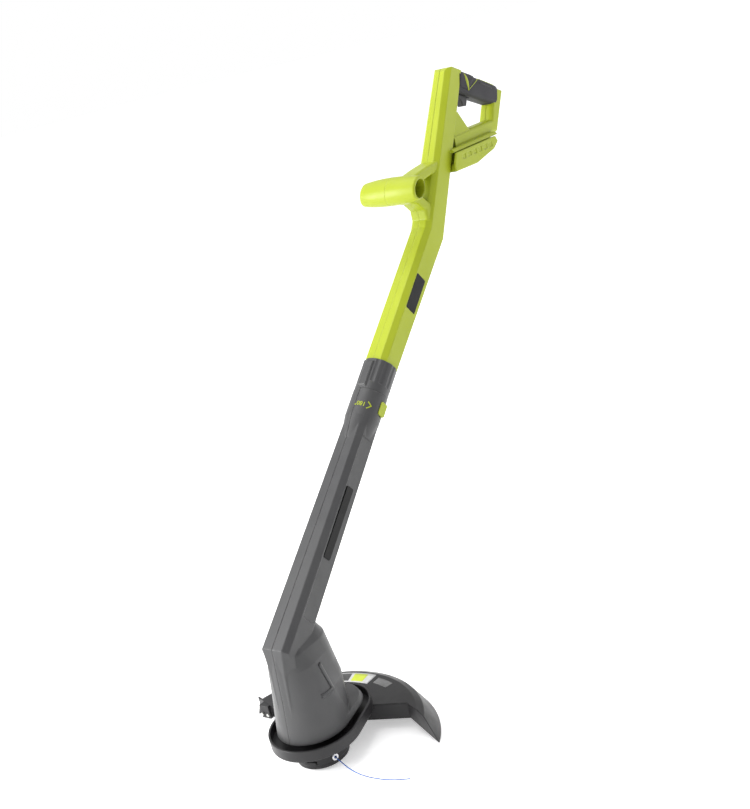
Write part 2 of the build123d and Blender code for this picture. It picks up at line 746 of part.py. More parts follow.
def bump_knob():
    """The knob that is tapped on the ground: it lifts the spool to let out line."""
    knob = rod(KNOB_R, 0, SPOOL_BASE - GAP)
    knob = fillet(knob.edges().group_by(Axis.Z)[0], 2.5)
    knob -= ring(19.0, 12.0, 3.0, 20.0)
    knob += ring(DRUM_BORE - FIT, 6.0, SPOOL_BASE - 1, SPOOL_BASE + 4)
    return knob - rod(6.0, 4.0, 30)


def spool():
    """The spool: two flanges and a hollow drum."""
    top = SPOOL_BASE + 15.0
    body = ring(17.0, DRUM_BORE, SPOOL_BASE + 1, top)
    body += ring(SPOOL_R_IN, DRUM_BORE, SPOOL_BASE, SPOOL_BASE + 1.6)
    body += ring(SPOOL_R_IN, DRUM_BORE, top - 1.6, top)
    return body - ring(30.0, 28.0, top - 0.6, top + 1) - box(-2, 2, 30.5, 35, top - 2, top + 1)


def wound_line():
    """The line wound on the spool, as one closed coil."""
    return ring(26.0, 17.2, 14.9, 26.1)


def cutting_line():
    """The free end of the cutting line, straight runs joined by arcs."""
    points = [Vector(*p) for p in LINE_ROUTE]
    radii = []
    for a, b, c in zip(points, points[1:], points[2:]):
        shorter = min((b - a).length, (c - b).length)
        turn = (b - a).get_angle(c - b)
        radii.append(0.45 * shorter / tan(radians(turn) / 2))
    path = FilletPolyline(*LINE_ROUTE, radius=radii)
    profile = Plane(origin=path @ 0, z_dir=path % 0) * Circle(LINE_D / 2)
    line = sweep(profile, path=path)
    expected = pi * LINE_D ** 2 / 4 * path.length
    print("line radii", [round(r) for r in radii])
    print("line length", round(path.length, 1), "volume", round(line.volume, 1), "of", round(expected, 1))
    return line


# ---- guard ----
def guard_region():
    """The plan area that the guard covers, behind the head."""
    return make_face(Polyline(
        (27, 71), (98, 98), (162, 71.5), (230, 62), (230, 230), (-230, 230),
        (-230, 62), (-158, 43), (-112, 28), (-60, 28), (0, 40), close=True))


def guard():
    """The guard: a skirt round the housing's base, a plate behind it and a flared apron."""
    inner = Polyline(
        (50, PLATE_TOP), (PLATE_R - 10, PLATE_TOP), (PLATE_R, PLATE_TOP - 5), (APRON_R, APRON_BASE),
        (APRON_R - GUARD_T, APRON_BASE), (PLATE_R - GUARD_T - 1, PLATE_TOP - 7),
        (PLATE_R - 12, PLATE_TOP - GUARD_T), (50, PLATE_TOP - GUARD_T), close=True)
    shell = revolve(Plane.XZ * make_face(inner), Axis.Z, 360)
    shell &= extrude(guard_region(), 80)
    skirt = extrude(pear(SKIRT_BASE - 2, 69.5, -1, 58, 45), SKIRT_TOP - SKIRT_BASE + 2)
    skirt -= extrude(pear(SKIRT_BASE + 1, 66.5, -1, 55, 45), 40)
    skirt -= rod(24, 20, 70)
    near = mitred_wall([(24, 70), (98, 98)], 17.0, PLATE_TOP - 1)
    near += near_end() & apron_inside()
    far = mitred_wall([(-60, 29.5), (-112, 29.5), (-156, 43.5)], 22.0, PLATE_TOP - 1)
    part = shell + skirt + near + far
    part += box(-140, -122, 26, 44, 20, PLATE_TOP - 1)
    for x, y in GUARD_SCREWS:
        part += rod(5.0, SKIRT_BASE - 2, HOUSING_BASE + 1, x, y)
        part -= rod(1.75, 30, 70, x, y)
    part -= box(-145, -120, 34, 38, 0, 32)
    part -= blade_holes()
    return part


def apron_inside():
    """Everything under the guard's outer surface."""
    profile = Polyline(
        (20, APRON_BASE), (20, PLATE_TOP), (PLATE_R - 10, PLATE_TOP), (PLATE_R, PLATE_TOP - 5),
        (APRON_R, APRON_BASE), close=True)
    return revolve(Plane.XZ * make_face(profile), Axis.Z, 360)


def near_end():
    """The web that closes the apron's near end, its lower edge sloping down to the tip."""
    a, b = (98.0, 98.0), (162.0, 71.5)
    span = hypot(b[0] - a[0], b[1] - a[1])
    face = make_face(Polyline(
        (0, 17.0), (span * 0.9, 7.5), (span + 6, APRON_BASE), (span + 6, 50), (0, 50), close=True))
    web = extrude(Plane.XZ * face, GUARD_T / 2, both=True)
    return Pos(a[0], a[1], 0) * Rot(0, 0, degrees(atan2(b[1] - a[1], b[0] - a[0]))) * web


GUARD_SCREWS = [(44.0, 14.0), (-44.0, 14.0), (0.0, 71.0)]


def mitred_wall(points, z0, z1):
    """An upright wall along a plan line."""
    wall = None
    for a, b in zip(points, points[1:]):
        span = hypot(b[0] - a[0], b[1] - a[1])
        turn = degrees(atan2(b[1] - a[1], b[0] - a[0]))
        slab = Pos(a[0], a[1], 0) * Rot(0, 0, turn) * box(0, span, -GUARD_T / 2, GUARD_T / 2, z0, z1)
        post = rod(GUARD_T / 2, z0, z1, b[0], b[1])
        wall = slab + post if wall is None else wall + slab + post
    return wall


def guard_screws():
    """The screws that hold the guard to the housing's base, from below."""
    screws = []
    for x, y in GUARD_SCREWS:
        screws.append(rod(1.7, SKIRT_BASE - 2, 63, x, y) + rod(3.4, SKIRT_BASE - 4.4, SKIRT_BASE - 2, x, y))
    return screws


def blade_holes():
    """Bores through the guard's far bracket for the blade's screws."""
    holes = None
    for x in (-137.0, -125.5):
        bore = Plane(origin=(x, 40, 27), z_dir=(0, 1, 0)) * Cylinder(1.3, 40)
        holes = bore if holes is None else holes + bore
    return holes


def cutoff_blade():
    """The steel blade that trims the line to length, in the guard's far bracket."""
    blade = box(-144, -121, 35.2, 36.8, 12.5, 31.4)
    blade -= Pos(-132, 36, 12.5) * Rot(0, 45, 0) * Box(5, 6, 5)
    for x in (-137.0, -125.5):
        blade -= Plane(origin=(x, 40, 27), z_dir=(0, 1, 0)) * Cylinder(1.35, 40)
    return blade


def blade_screws():
    """The two screws through the bracket and the blade."""
    screws = []
    for x in (-137.0, -125.5):
        frame = Plane(origin=(x, 26, 27), z_dir=(0, 1, 0))
        screws.append(frame * (Pos(0, 0, 8) * Cylinder(1.25, 16) + Pos(0, 0, -1) * Cylinder(2.6, 2)))
    return screws


# ---- inside wiring ----
def lead(points, radius):
    """A round lead held inside the bodies, its runs joined by arcs."""
    route = [Vector(*p) for p in points]
    radii = []
    for a, b, c in zip(route, route[1:], route[2:]):
        shorter = min((b - a).length, (c - b).length)
        turn = (b - a).get_angle(c - b)
        radii.append(min(0.45 * shorter / tan(radians(turn) / 2), 60.0))
    path = FilletPolyline(*points, radius=radii)
    profile = Plane(origin=path @ 0, z_dir=path % 0) * Circle(radius)
    return sweep(profile, path=path)


def cable_upper():
    """The lead from the terminal block down the upper body to the swivel."""
    return lead([
        (0, 699.8, 745), (0, 652, 746), (0, *upper_point(92, 4)), (0, *upper_point(20, 7)),
        shaft_point(660, 0, 7), shaft_point(560, 0, 7), shaft_point(530, 0, 1), shaft_point(503.5),
    ], 2.6)


def cable_switch():
    """The lead from the trigger switch round the rear handle to the terminal block."""
    return lead([
        (0, 768.7, 837.8), (0, 800, 825), (0, 829, 809), (0, 824, 786), (0, 806, 765),
        (0, 788, 760), (0, 771, 758.5), (0, 758, 752.5), (0, 746.7, 748.3),
    ], 1.6)


def cable_lower():
    """The lead from the swivel down the lower body to the motor."""
    return lead([
        shaft_point(502.9), shaft_point(440), shaft_point(330, 0, 8), shaft_point(40, 0, 8),
        (0, 26, 168), (0, 24, 142), (0, 16, 127.5),
    ], 2.6)


def trigger_switch():
    """The switch that the trigger presses, with its plunger."""
    body = box(-7, 7, 752, 768, 832, 848)
    return body + box(-2, 2, 746.0, 752, 833, 837)


# ---- springs and feed slider ----
def button_spring():
    """The coil spring behind the swivel button, across the lower body."""
    spring = coil(3.1, 0.6, 0, 3.6, 3)
    local = Pos(17.5, 0, 0) * Rot(0, 90, 0) * spring
    return along(shaft_plane(BUTTON_T), Pos(0, BUTTON_DEPTH, 0) * local)


def spool_spring():
    """The spring between the knob's stem and the housing, which pushes the knob down."""
    return coil(8.0, 0.9, SPOOL_BASE + 5.0, HEAD_TOP - 3.8, 5)


def main():
    """Builds every piece and writes one STEP file for each node."""
    upper_left, upper_right = upper_shells()
    lower_left, lower_right = lower_shells()
    skin_left, skin_right = grip_skins()
    parts = {
        "upper_shell_left": upper_left,
        "upper_shell_right": upper_right,
        "lower_shell_left": lower_left,
        "lower_shell_right": lower_right,
        "grip_skin_left": skin_left,
        "grip_skin_right": skin_right,
        "upper_shell_screws": Compound([screw_x(p, 8.0, 14.0) for p in UPPER_BOSSES]),
        "lower_shell_screws": Compound([screw_x(p, 8.0, 14.0) for p in LOWER_BOSSES]),
        "badge_plate_upper": badge_upper(),
        "badge_plate_lower": badge_lower(),
        "battery_rail": battery_rail(),
        "terminal_block": terminal_block(),
        "battery_contacts": battery_contacts(),
        "trigger": trigger(),
        "trigger_pin": trigger_pin(),
        "trigger_switch": trigger_switch(),
        "cable_upper": cable_upper(),
        "cable_switch": cable_switch(),
        "cable_lower": cable_lower(),
        "swivel_collar": swivel_collar(),
        "swivel_tube": swivel_tube(),
        "swivel_retainer": swivel_retainer(),
        "swivel_button": swivel_button(),
        "swivel_button_spring": button_spring(),
        "motor_can": motor_can(),
        "motor_end_cap": motor_end_cap(),
        "motor_bearings": Compound(motor_bearings()),
        "motor_magnets": Compound(motor_magnets()),
        "motor_armature": motor_armature(),
        "armature_winding": Compound(armature_winding()),
        "commutator": commutator(),
        "motor_brushes": Compound(motor_brushes()),
        "motor_shaft": motor_shaft(),
        "motor_plate": motor_plate(),
        "motor_screws": Compound(motor_screws()),
        "cooling_fan": cooling_fan(),
        "spool_housing": spool_housing(),
        "spool_cap": spool_cap(),
        "bump_knob": bump_knob(),
        "spool": spool(),
        "wound_line": wound_line(),
        "line_eyelet": line_eyelet(),
        "spool_spring": spool_spring(),
        "cutting_line": cutting_line(),
        "guard": guard(),
        "guard_screws": Compound(guard_screws()),
        "cutoff_blade": cutoff_blade(),
        "blade_screws": Compound(blade_screws()),
    }
    os.makedirs("parts", exist_ok=True)
    for name, shape in parts.items():
        if not isinstance(shape, Compound):
            shape = Compound(shape.solids())
        export_step(shape, f"parts/{name}.step")


main()
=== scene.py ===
import json
from math import cos, pi, radians, sin

import bmesh
import bpy
import numpy as np
from mathutils import Matrix, Vector


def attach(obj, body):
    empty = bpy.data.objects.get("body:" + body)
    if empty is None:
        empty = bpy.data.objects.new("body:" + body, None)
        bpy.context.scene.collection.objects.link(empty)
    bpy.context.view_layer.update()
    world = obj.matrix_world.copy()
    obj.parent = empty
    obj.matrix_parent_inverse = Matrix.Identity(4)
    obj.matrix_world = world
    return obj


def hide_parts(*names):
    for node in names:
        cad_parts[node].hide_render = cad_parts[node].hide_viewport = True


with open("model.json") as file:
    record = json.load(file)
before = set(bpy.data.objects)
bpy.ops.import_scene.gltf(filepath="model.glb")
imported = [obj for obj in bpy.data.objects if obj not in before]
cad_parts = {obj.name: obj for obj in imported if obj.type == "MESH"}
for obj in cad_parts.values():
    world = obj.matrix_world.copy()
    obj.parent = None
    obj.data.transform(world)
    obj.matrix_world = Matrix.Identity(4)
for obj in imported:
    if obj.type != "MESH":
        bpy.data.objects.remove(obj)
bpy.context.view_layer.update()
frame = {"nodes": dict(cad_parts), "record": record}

NODES = frame["nodes"]
MM = 0.001

# The swivel axis: it leans rearward in the mid plane, from where it enters the motor housing.
SHAFT_LEAN = radians(51.5)
SHAFT_FOOT = np.array([0.0, -17.3, 190.8])
SHAFT_UP = np.array([0.0, sin(SHAFT_LEAN), cos(SHAFT_LEAN)])
SHAFT_BACK = np.array([0.0, cos(SHAFT_LEAN), -sin(SHAFT_LEAN)])

WHITE = (1.0, 1.0, 1.0)
DIM_SKY = (0.60, 0.60, 0.61)
FLOOR_REACH = 60.0            # half the width of the floor, in metres
FLOOR_GLOW = 0.42             # light that the paper gives off, so that it stays white far away


# ---- camera, floor and light ----
def set_camera():
    """A long lens from the front left of the tool, a little above it, rolled as the tool leans."""
    right = Vector((0.789, 0.567, -0.236)).normalized()
    back = Vector((0.614, -0.728, 0.305)).normalized()
    up = back.cross(right).normalized()
    right = up.cross(back)
    camera = bpy.data.objects.new("camera", bpy.data.cameras.new("camera"))
    bpy.context.scene.collection.objects.link(camera)
    turn = Matrix((right, up, back)).transposed().to_4x4()
    camera.matrix_world = Matrix.Translation((1.100, -0.993, 0.977)) @ turn
    camera.data.sensor_fit = "HORIZONTAL"
    camera.data.sensor_width = 36.0
    camera.data.lens = 55.1
    camera.data.clip_end = 200.0
    bpy.context.scene.camera = camera


def area_light(name, place, target, size, power):
    """One soft rectangular light, aimed at a point, its power in watts."""
    lamp = bpy.data.lights.new(name, "AREA")
    lamp.shape = "RECTANGLE"
    lamp.size, lamp.size_y = size
    lamp.energy = power
    obj = bpy.data.objects.new(name, lamp)
    bpy.context.scene.collection.objects.link(obj)
    obj.location = place
    aim = Vector(target) - Vector(place)
    obj.rotation_euler = aim.to_track_quat("-Z", "Y").to_euler()


def set_world():
    """An even white sky, dimmer on the tool's left, so that its left faces are the darker ones."""
    world = bpy.data.worlds.new("studio")
    bpy.context.scene.world = world
    world.use_nodes = True
    tree = world.node_tree
    background = tree.nodes["Background"]
    background.inputs["Strength"].default_value = 1.0
    coordinate = add(tree, "ShaderNodeTexCoord")
    parts = add(tree, "ShaderNodeSeparateXYZ")
    tree.links.new(coordinate.outputs["Generated"], parts.inputs["Vector"])
    dim = ramp(tree, parts.outputs["X"], 0.0, 1.0, 0.05, 0.65)
    tree.links.new(mixed(tree, dim, WHITE, DIM_SKY), background.inputs["Color"])


def set_stage():
    """A wide pale floor, a large key light from the front right, one overhead and a weak one behind."""
    bpy.context.scene.view_settings.view_transform = "Standard"
    middle = (0.0, 0.35, 0.45)
    area_light("key", (-1.9, -2.0, 1.7), middle, (1.0, 1.8), 120.0)
    area_light("top", (-0.4, 0.3, 3.2), middle, (2.0, 2.0), 40.0)
    area_light("rim", (1.6, 2.4, 1.6), middle, (1.0, 2.0), 14.0)
    reach = FLOOR_REACH
    corners = [(-reach, -reach, 0), (reach, -reach, 0), (reach, reach, 0), (-reach, reach, 0)]
    floor = bpy.data.meshes.new("floor")
    floor.from_pydata(corners, [], [(0, 1, 2, 3)])
    obj = bpy.data.objects.new("floor", floor)
    bpy.context.scene.collection.objects.link(obj)
    obj.data.materials.append(floor_paper())


# ---- finishes ----
def new_finish(name):
    """An empty material: returns it, its node tree and its shader."""
    material = bpy.data.materials.new(name)
    material.use_nodes = True
    return material, material.node_tree, material.node_tree.nodes["Principled BSDF"]


def add(tree, kind, **values):
    """A node with its sockets and properties set by name."""
    node = tree.nodes.new(kind)
    for key, value in values.items():
        if hasattr(node, key):
            setattr(node, key, value)
        else:
            node.inputs[key.replace("_", " ")].default_value = value
    return node


def noise(tree, scale, detail=3.0, stretch=(1.0, 1.0, 1.0)):
    """Noise on object coordinates, in metres, stretched along an axis where a finish has a lay."""
    coordinate = add(tree, "ShaderNodeTexCoord")
    mapping = add(tree, "ShaderNodeMapping", Scale=stretch)
    texture = add(tree, "ShaderNodeTexNoise", Scale=scale, Detail=detail)
    tree.links.new(coordinate.outputs["Object"], mapping.inputs["Vector"])
    tree.links.new(mapping.outputs["Vector"], texture.inputs["Vector"])
    return texture.outputs["Fac"]


def ramp(tree, value, low, high, start, end):
    """value from start..end mapped to low..high, clamped."""
    node = add(tree, "ShaderNodeMapRange")
    node.inputs["From Min"].default_value = start
    node.inputs["From Max"].default_value = end
    node.inputs["To Min"].default_value = low
    node.inputs["To Max"].default_value = high
    tree.links.new(value, node.inputs["Value"])
    return node.outputs["Result"]


def mixed(tree, factor, first, second):
    """Two colours, or colour sockets, mixed by a factor socket."""
    node = add(tree, "ShaderNodeMix", data_type="RGBA")
    tree.links.new(factor, node.inputs["Factor"])
    for socket, value in ((node.inputs[6], first), (node.inputs[7], second)):
        if isinstance(value, tuple):
            socket.default_value = (*value, 1.0)
        else:
            tree.links.new(value, socket)
    return node.outputs[2]


def edges(tree, radius):
    """Where a sharp edge runs: how far a rounded normal turns from the real one. Also the rounded normal."""
    rounded = add(tree, "ShaderNodeBevel", samples=4)
    rounded.inputs["Radius"].default_value = radius
    geometry = add(tree, "ShaderNodeNewGeometry")
    dot = add(tree, "ShaderNodeVectorMath", operation="DOT_PRODUCT")
    tree.links.new(rounded.outputs["Normal"], dot.inputs[0])
    tree.links.new(geometry.outputs["Normal"], dot.inputs[1])
    return ramp(tree, dot.outputs["Value"], 1.0, 0.0, 0.86, 0.995), rounded.outputs["Normal"]


def moulded(name, colour, shade, light, rough=0.42, grain=1400.0, bump=0.10, round_edge=0.0012, sheen=0.35):
    """Moulded plastic: a fine spark-eroded grain, slow colour drift and a patchy painted highlight along sharp
    edges.
    """
    material, tree, shader = new_finish(name)
    drift = ramp(tree, noise(tree, 9.0, 2.0), 0.0, 1.0, 0.35, 0.65)
    body = mixed(tree, drift, colour, shade)
    # Sharp edges take the lighter colour: a painted highlight, broken up by noise.
    edge_highlight_mask, rounded = edges(tree, round_edge)
    patchy_edge_highlight = add(tree, "ShaderNodeMath", operation="MULTIPLY")
    tree.links.new(edge_highlight_mask, patchy_edge_highlight.inputs[0])
    tree.links.new(ramp(tree, noise(tree, 60.0, 4.0), 0.15, 0.75, 0.40, 0.62), patchy_edge_highlight.inputs[1])
    tree.links.new(mixed(tree, patchy_edge_highlight.outputs[0], body, light), shader.inputs["Base Color"])
    gloss = ramp(tree, noise(tree, 35.0, 3.0), rough - 0.05, rough + 0.07, 0.35, 0.65)
    tree.links.new(gloss, shader.inputs["Roughness"])
    shader.inputs["Specular IOR Level"].default_value = sheen
    relief = add(tree, "ShaderNodeBump", Strength=bump, Distance=0.0003)
    tree.links.new(noise(tree, grain, 2.0), relief.inputs["Height"])
    tree.links.new(rounded, relief.inputs["Normal"])
    tree.links.new(relief.outputs["Normal"], shader.inputs["Normal"])
    return material


def metal(name, colour, shade, rough, lay=(1.0, 1.0, 1.0), scale=500.0, bump=0.08):
    """Bare or plated metal, with fine tool marks along its lay and a patchy dullness."""
    material, tree, shader = new_finish(name)
    patch = ramp(tree, noise(tree, 70.0, 3.0), 0.0, 1.0, 0.35, 0.65)
    tree.links.new(mixed(tree, patch, colour, shade), shader.inputs["Base Color"])
    shader.inputs["Metallic"].default_value = 1.0
    marks = noise(tree, scale, 3.0, lay)
    tree.links.new(ramp(tree, marks, rough - 0.08, rough + 0.12, 0.3, 0.7), shader.inputs["Roughness"])
    relief = add(tree, "ShaderNodeBump", Strength=bump, Distance=0.0002)
    tree.links.new(marks, relief.inputs["Height"])
    tree.links.new(relief.outputs["Normal"], shader.inputs["Normal"])
    return material


def floor_paper():
    """Matt white studio paper, slightly uneven in tone, with a glow of its own that keeps it white."""
    material, tree, shader = new_finish("studio_paper")
    tone = ramp(tree, noise(tree, 3.0, 2.0), 0.0, 1.0, 0.3, 0.7)
    tree.links.new(mixed(tree, tone, (0.94, 0.94, 0.94), (0.96, 0.96, 0.96)), shader.inputs["Base Color"])
    shader.inputs["Roughness"].default_value = 0.9
    shader.inputs["Specular IOR Level"].default_value = 0.1
    shader.inputs["Emission Color"].default_value = (*WHITE, 1.0)
    shader.inputs["Emission Strength"].default_value = FLOOR_GLOW
    return material


def nylon_line():
    """Blue cutting line: translucent nylon, drawn along its length."""
    material, tree, shader = new_finish("blue_nylon")
    tone = ramp(tree, noise(tree, 120.0, 2.0), 0.0, 1.0, 0.35, 0.65)
    tree.links.new(mixed(tree, tone, (0.045, 0.10, 0.34), (0.075, 0.16, 0.46)), shader.inputs["Base Color"])
    tree.links.new(ramp(tree, noise(tree, 900.0, 2.0), 0.25, 0.4, 0.3, 0.7), shader.inputs["Roughness"])
    shader.inputs["Subsurface Weight"].default_value = 0.15
    shader.inputs["Subsurface Scale"].default_value = 0.001
    return material


def label_film(name, colour, shade):
    """Printed sticker film: satin, slightly mottled ink."""
    material, tree, shader = new_finish(name)
    tone = ramp(tree, noise(tree, 160.0, 3.0), 0.0, 1.0, 0.35, 0.65)
    tree.links.new(mixed(tree, tone, colour, shade), shader.inputs["Base Color"])
    tree.links.new(ramp(tree, noise(tree, 60.0, 2.0), 0.32, 0.44, 0.3, 0.7), shader.inputs["Roughness"])
    return material


# Per finish: base colour, a second tone for the random drift, and the colour of the painted edge highlight.
LIME = ((0.315, 0.372, 0.012), (0.290, 0.345, 0.010), (0.43, 0.49, 0.08))
GREY = ((0.047, 0.047, 0.048), (0.040, 0.040, 0.042), (0.110, 0.110, 0.110))
DARK = ((0.0150, 0.0142, 0.0155), (0.0115, 0.0110, 0.0120), (0.045, 0.045, 0.045))

FINISHES = {
    "lime_plastic": moulded("lime_moulding", *LIME, rough=0.40, round_edge=0.0022),
    "grey_plastic": moulded("grey_moulding", *GREY, rough=0.42, bump=0.16, round_edge=0.0025, sheen=0.45),
    "black_plastic": moulded("black_moulding", *DARK, rough=0.40, bump=0.14, round_edge=0.0025),
    "grip_rubber": moulded("grip_rubber", (0.040, 0.038, 0.042), (0.031, 0.030, 0.034), (0.08, 0.08, 0.08),
                           rough=0.62, grain=900.0, bump=0.30, sheen=0.25),
    "badge_black": moulded("badge_lacquer", (0.003, 0.003, 0.003), (0.005, 0.005, 0.005), (0.03, 0.03, 0.03),
                           rough=0.38, bump=0.03, round_edge=0.0004, sheen=0.18),
    "lime_accent": moulded("accent_moulding", *LIME, rough=0.30, bump=0.05, round_edge=0.0008),
    "steel": metal("bright_steel", (0.52, 0.52, 0.53), (0.44, 0.44, 0.45), 0.28, (1.0, 1.0, 8.0)),
    "zinc_screw": metal("zinc_plate", (0.60, 0.60, 0.58), (0.50, 0.50, 0.47), 0.34),
    "brass": metal("brass", (0.70, 0.52, 0.22), (0.62, 0.45, 0.18), 0.30),
    "copper": metal("copper_wire", (0.75, 0.36, 0.20), (0.62, 0.28, 0.15), 0.35),
    "magnet": metal("magnet_nickel", (0.32, 0.32, 0.34), (0.25, 0.25, 0.26), 0.45),
    "carbon": moulded("carbon_brush", (0.02, 0.02, 0.02), (0.03, 0.03, 0.03), (0.08, 0.08, 0.08), rough=0.6),
    "aluminium": metal("cast_aluminium", (0.70, 0.70, 0.72), (0.62, 0.62, 0.64), 0.38),
    "line_blue": nylon_line(),
    "cable_black": moulded("cable_sheath", (0.018, 0.018, 0.018), (0.026, 0.026, 0.026), (0.06, 0.06, 0.06),
                           rough=0.5),
    "label_white": label_film("label_white", (0.52, 0.52, 0.52), (0.46, 0.46, 0.46)),
    "label_lime": label_film("label_lime", (0.50, 0.58, 0.03), (0.46, 0.54, 0.025)),
    "label_dark": label_film("label_dark", (0.05, 0.05, 0.05), (0.035, 0.035, 0.035)),
    "label_grey": label_film("label_grey", (0.14, 0.14, 0.14), (0.11, 0.11, 0.11)),
}


def finish_cad_nodes():
    """Every CAD node takes the finish of its slot in the record."""
    for part in frame["record"]["subparts"]:
        node = NODES[part["node"]]
        finish = FINISHES[part["material_slot"]]
        if not node.material_slots:
            node.data.materials.append(finish)
        for slot in node.material_slots:
            slot.material = finish


# ---- the free cutting line ----
LINE_ROUTE = [
    (38.0, -15.4, 16.0),
    (50.0, -20.3, 16.0),
    (63.5, -26.0, 15.5),
    (79.5, -31.2, 14.4),
    (97.0, -33.8, 13.0),
    (114.5, -32.8, 11.3),
    (131.5, -28.8, 9.4),
    (144.5, -23.7, 7.9),
    (156.5, -17.2, 6.6),
    (166.5, -10.7, 5.6),
]
LINE_DIAMETER = 0.00165


def free_line():
    """The free end of the cutting line: one smooth spline with the route's points as its controls."""
    curve = bpy.data.curves.new("free_line", "CURVE")
    curve.dimensions = "3D"
    spline = curve.splines.new("NURBS")
    spline.points.add(len(LINE_ROUTE) - 1)
    for point, place in zip(spline.points, LINE_ROUTE):
        point.co = (*(MM * v for v in place), 1.0)
    spline.order_u = 3
    spline.use_endpoint_u = True
    curve.resolution_u = 8
    curve.bevel_depth = LINE_DIAMETER / 2
    curve.bevel_resolution = 4
    curve.use_fill_caps = True
    line = bpy.data.objects.new("free_line", curve)
    bpy.context.scene.collection.objects.link(line)
    curve.materials.append(FINISHES["line_blue"])
    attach(line, "head")
    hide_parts("cutting_line")


# ---- raised details, worked out on the surface that they sit on ----
def mesh_piece(name, points, faces, finish, body):
    """A closed mesh piece from arrays of points and faces, riding on a body."""
    mesh = bpy.data.meshes.new(name)
    mesh.from_pydata(points.reshape(-1, 3).tolist(), [], faces)
    mesh.validate()
    mesh.polygons.foreach_set("use_smooth", [True] * len(mesh.polygons))
    obj = bpy.data.objects.new(name, mesh)
    bpy.context.scene.collection.objects.link(obj)
    mesh.materials.append(finish)
    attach(obj, body)
    return obj


def face_outwards(obj):
    """Turns every face of a closed piece outwards."""
    shape = bmesh.new()
    shape.from_mesh(obj.data)
    bmesh.ops.recalc_face_normals(shape, faces=shape.faces)
    shape.to_mesh(obj.data)
    shape.free()


def grid_faces(rows, columns, start=0, wrap=False):
    """The quads of a grid of points, its columns joined round if wrap."""
    i = np.arange(rows - 1)[:, None]
    j = np.arange(columns if wrap else columns - 1)[None, :]
    k = (j + 1) % columns
    quads = np.stack([i * columns + j, i * columns + k, (i + 1) * columns + k, (i + 1) * columns + j], axis=-1)
    return (quads.reshape(-1, 4) + start).tolist()


def dense(corners, step):
    """Points about a step apart along a line through corners, each corner kept."""
    corners = np.array(corners, float)
    parts = [corners[:1]]
    for a, b in zip(corners, corners[1:]):
        count = max(1, round(float(np.hypot(*(b - a))) / step))
        parts.append(a + (b - a) * (np.arange(1, count + 1) / count)[:, None])
    return np.concatenate(parts)


def raised_bar(name, corners, surface, width, height, finish, body, step=2.0):
    """A low moulded bar along a line on a surface: a flat-topped arch of a section, carried along the line.

    A point is surface(line + mitre * across, lift): the arch gives across and lift, and the mitre is the
    line's sideways direction, longer where it turns."""
    line = dense(corners, step)
    run = np.gradient(line, axis=0)
    run /= np.hypot(run[:, 0], run[:, 1])[:, None]
    forward = np.diff(line, axis=0)
    forward /= np.hypot(forward[:, 0], forward[:, 1])[:, None]
    side = np.stack([-run[:, 1], run[:, 0]], axis=1)
    ahead = np.vstack([forward, forward[-1:]])
    square = np.stack([-ahead[:, 1], ahead[:, 0]], axis=1)
    side /= np.clip(np.sum(side * square, axis=1), 0.5, 1.0)[:, None]
    across = np.array([-0.5, -0.44, -0.3, 0.0, 0.3, 0.44, 0.5, 0.3, -0.3]) * width
    lift = np.array([-0.1, 0.7, 1.0, 1.04, 1.0, 0.7, -0.1, -0.4, -0.4]) * height
    place = line[:, None, :] + side[:, None, :] * across[None, :, None]
    points = surface(place[..., 0], place[..., 1], np.broadcast_to(lift, place.shape[:2]))
    rows, columns = place.shape[:2]
    faces = grid_faces(rows, columns, wrap=True)
    faces += [list(range(columns)), list(range((rows - 1) * columns, rows * columns))]
    piece = mesh_piece(name, points * MM, faces, finish, body)
    face_outwards(piece)
    return piece


def raised_patch(name, low, high, surface, height, finish, body, sink=0.6, rows=6):
    """A thin moulded patch on a surface between two edge lines of as many points: a closed sheet.

    Its top is the straight mix of the two edges at the given height, rounded down at its rim; its
    underside is the same sheet sunk a little below the surface."""
    low, high = np.array(low, float), np.array(high, float)
    mix = np.linspace(0.0, 1.0, rows)[None, :, None]
    place = low[:, None, :] * (1 - mix) + high[:, None, :] * mix
    u = np.linspace(0.0, 1.0, len(low))[:, None]
    v = np.linspace(0.0, 1.0, rows)[None, :]
    rim = (np.minimum(u, 1 - u) < 1e-6) | (np.minimum(v, 1 - v) < 1e-6)
    top = surface(place[..., 0], place[..., 1], np.where(rim, 0.72 * height, height))
    under = surface(place[..., 0], place[..., 1], np.full(rim.shape, -sink))
    count = len(low) * rows
    index = np.arange(count).reshape(len(low), rows)
    ring = np.concatenate([index[:, 0], index[-1, 1:], index[-2::-1, -1], index[0, -2:0:-1]])
    following = np.roll(ring, -1)
    sides = np.stack([ring, following, following + count, ring + count], axis=1).tolist()
    faces = grid_faces(len(low), rows) + sides
    faces += [face[::-1] for face in grid_faces(len(low), rows, start=count)]
    points = np.concatenate([top.reshape(-1, 3), under.reshape(-1, 3)])
    piece = mesh_piece(name, points * MM, faces, finish, body)
    face_outwards(piece)
    return piece


# The rear grip: a rounded box carried along its own axis, in millimetres.
GRIP_START = np.array([716.0, 857.0])
GRIP_AXIS = np.array([0.9305, -0.3661])
GRIP_NORMAL = np.array([0.3661, 0.9305])
GRIP_HALF_W, GRIP_HALF_D, GRIP_CORNER = 17.0, 19.0, 11.0


